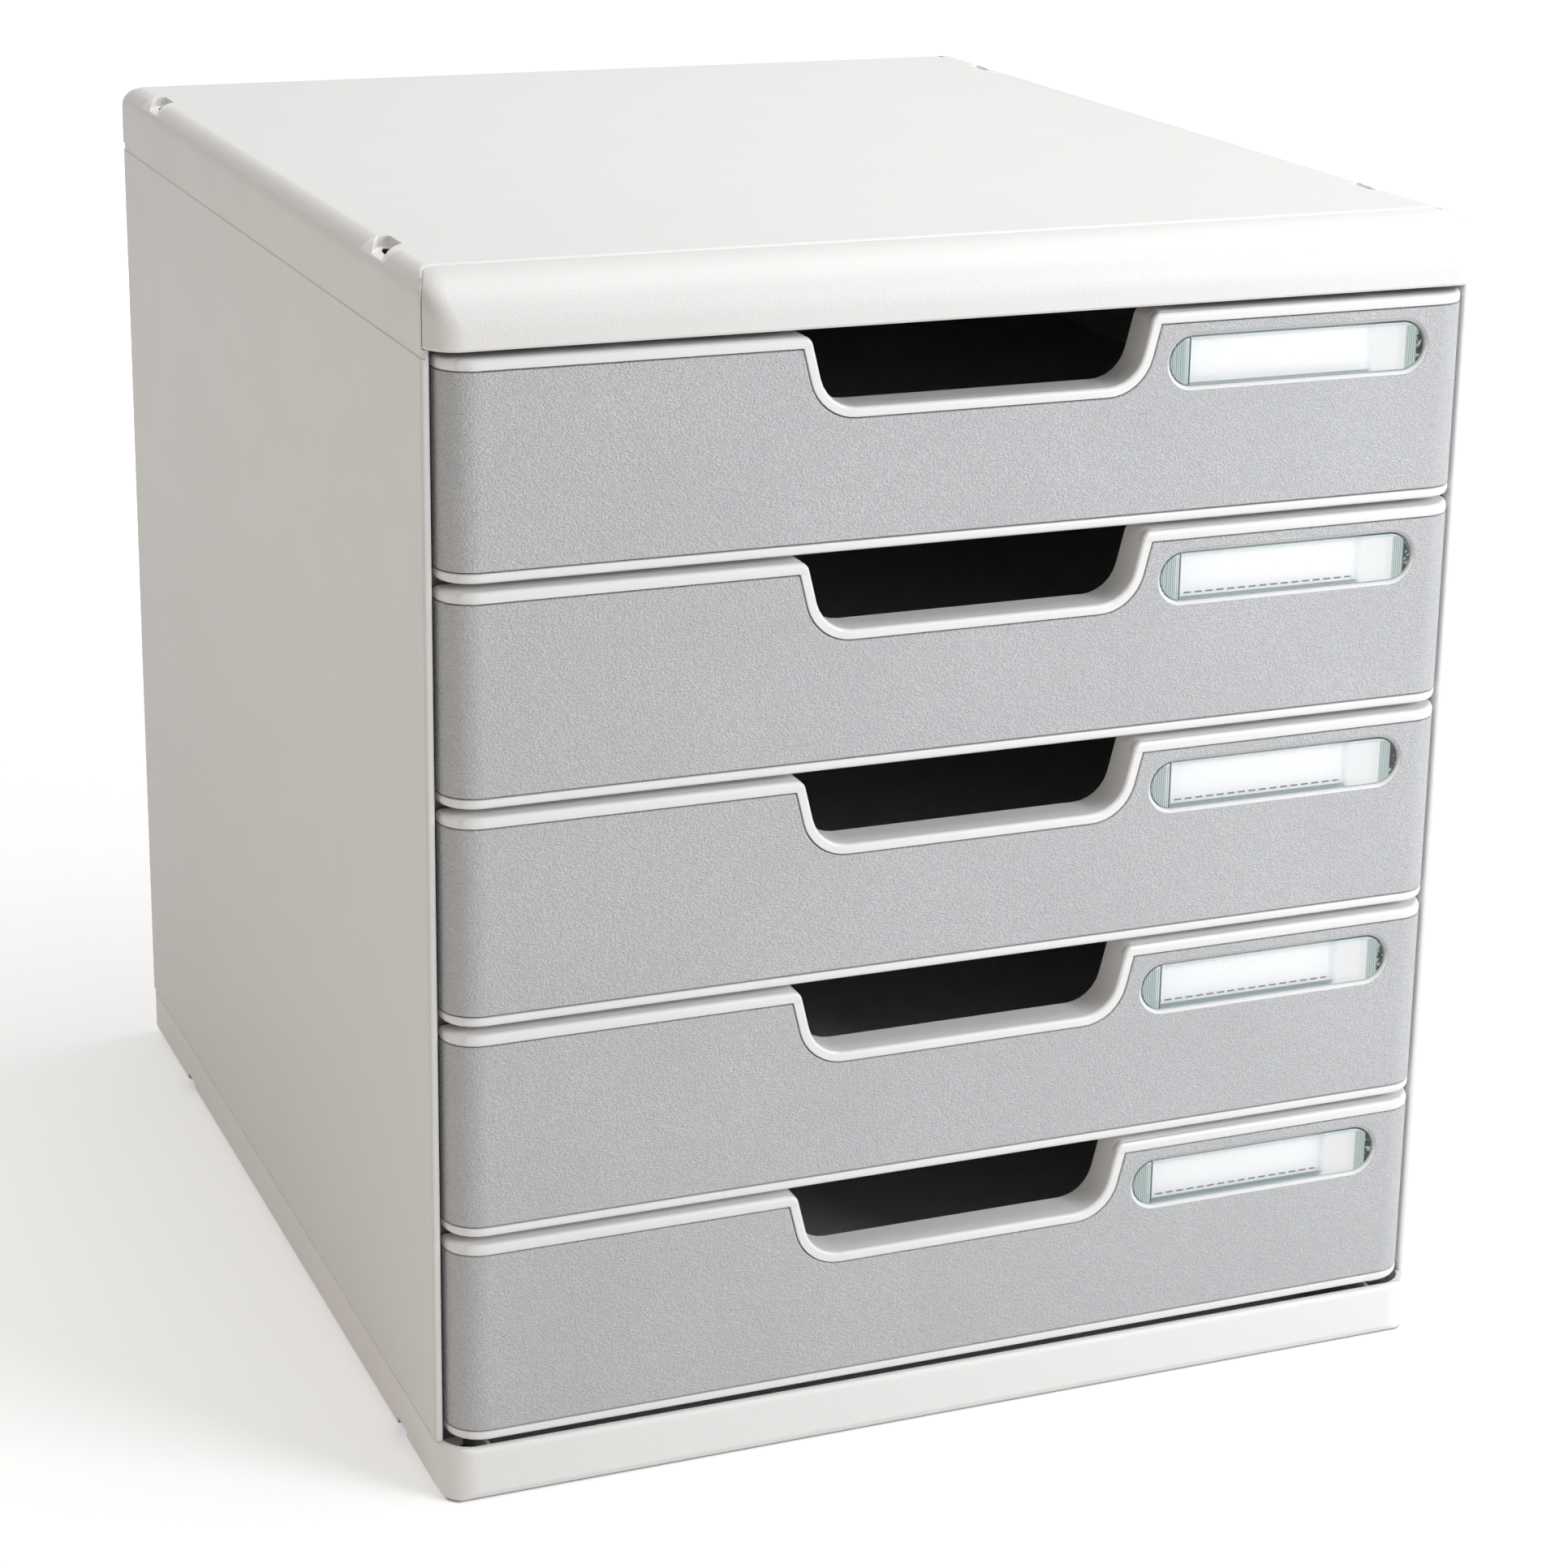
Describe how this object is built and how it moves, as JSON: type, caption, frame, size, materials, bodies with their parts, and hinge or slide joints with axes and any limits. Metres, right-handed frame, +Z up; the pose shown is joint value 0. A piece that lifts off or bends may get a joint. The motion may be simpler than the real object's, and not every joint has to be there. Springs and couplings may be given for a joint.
{
  "type": "desktop file drawer",
  "caption": "Desktop file module with stacked sliding drawers for A4 papers; each front has a grey fascia, a finger cut-out and a label window, and the cover is softly rounded.",
  "frame": {"origin": "centre of the underside of the base, on the desk", "axes": "+X right as seen by the user, drawers face and open to -Y, +Z up"},
  "size_m": [0.288, 0.339, 0.32],
  "materials": {
    "casing": "light grey moulded polystyrene, satin, fine spark grain on the cover's nose",
    "rim": "off-white moulded polystyrene, satin",
    "fascia": "mid grey moulded plastic with a leather grain",
    "window": "clear moulded plastic, slightly green at its ribbed ends",
    "card": "plain white label card"
  },
  "bodies": {
    "casing": {"top_cover": "casing", "side_panel_left": "casing", "side_panel_right": "casing", "back_panel": "casing", "base": "casing"},
    "drawer_1": {"drawer_1_tray": "rim", "drawer_1_fascia": "fascia", "drawer_1_label_window": "window", "drawer_1_label_card": "card"},
    "drawer_2": {"drawer_2_tray": "rim", "drawer_2_fascia": "fascia", "drawer_2_label_window": "window", "drawer_2_label_card": "card"},
    "drawer_3": {"drawer_3_tray": "rim", "drawer_3_fascia": "fascia", "drawer_3_label_window": "window", "drawer_3_label_card": "card"},
    "drawer_4": {"drawer_4_tray": "rim", "drawer_4_fascia": "fascia", "drawer_4_label_window": "window", "drawer_4_label_card": "card"},
    "drawer_5": {"drawer_5_tray": "rim", "drawer_5_fascia": "fascia", "drawer_5_label_window": "window", "drawer_5_label_card": "card"}
  },
  "joints": [
    {"name": "drawer_1_slide", "type": "slide", "parent": "casing", "child": "drawer_1", "axis": [0, -1, 0], "range_m": [0, 0.245]},
    {"name": "drawer_2_slide", "type": "slide", "parent": "casing", "child": "drawer_2", "axis": [0, -1, 0], "range_m": [0, 0.245]},
    {"name": "drawer_3_slide", "type": "slide", "parent": "casing", "child": "drawer_3", "axis": [0, -1, 0], "range_m": [0, 0.245]},
    {"name": "drawer_4_slide", "type": "slide", "parent": "casing", "child": "drawer_4", "axis": [0, -1, 0], "range_m": [0, 0.245]},
    {"name": "drawer_5_slide", "type": "slide", "parent": "casing", "child": "drawer_5", "axis": [0, -1, 0], "range_m": [0, 0.245]}
  ]
}
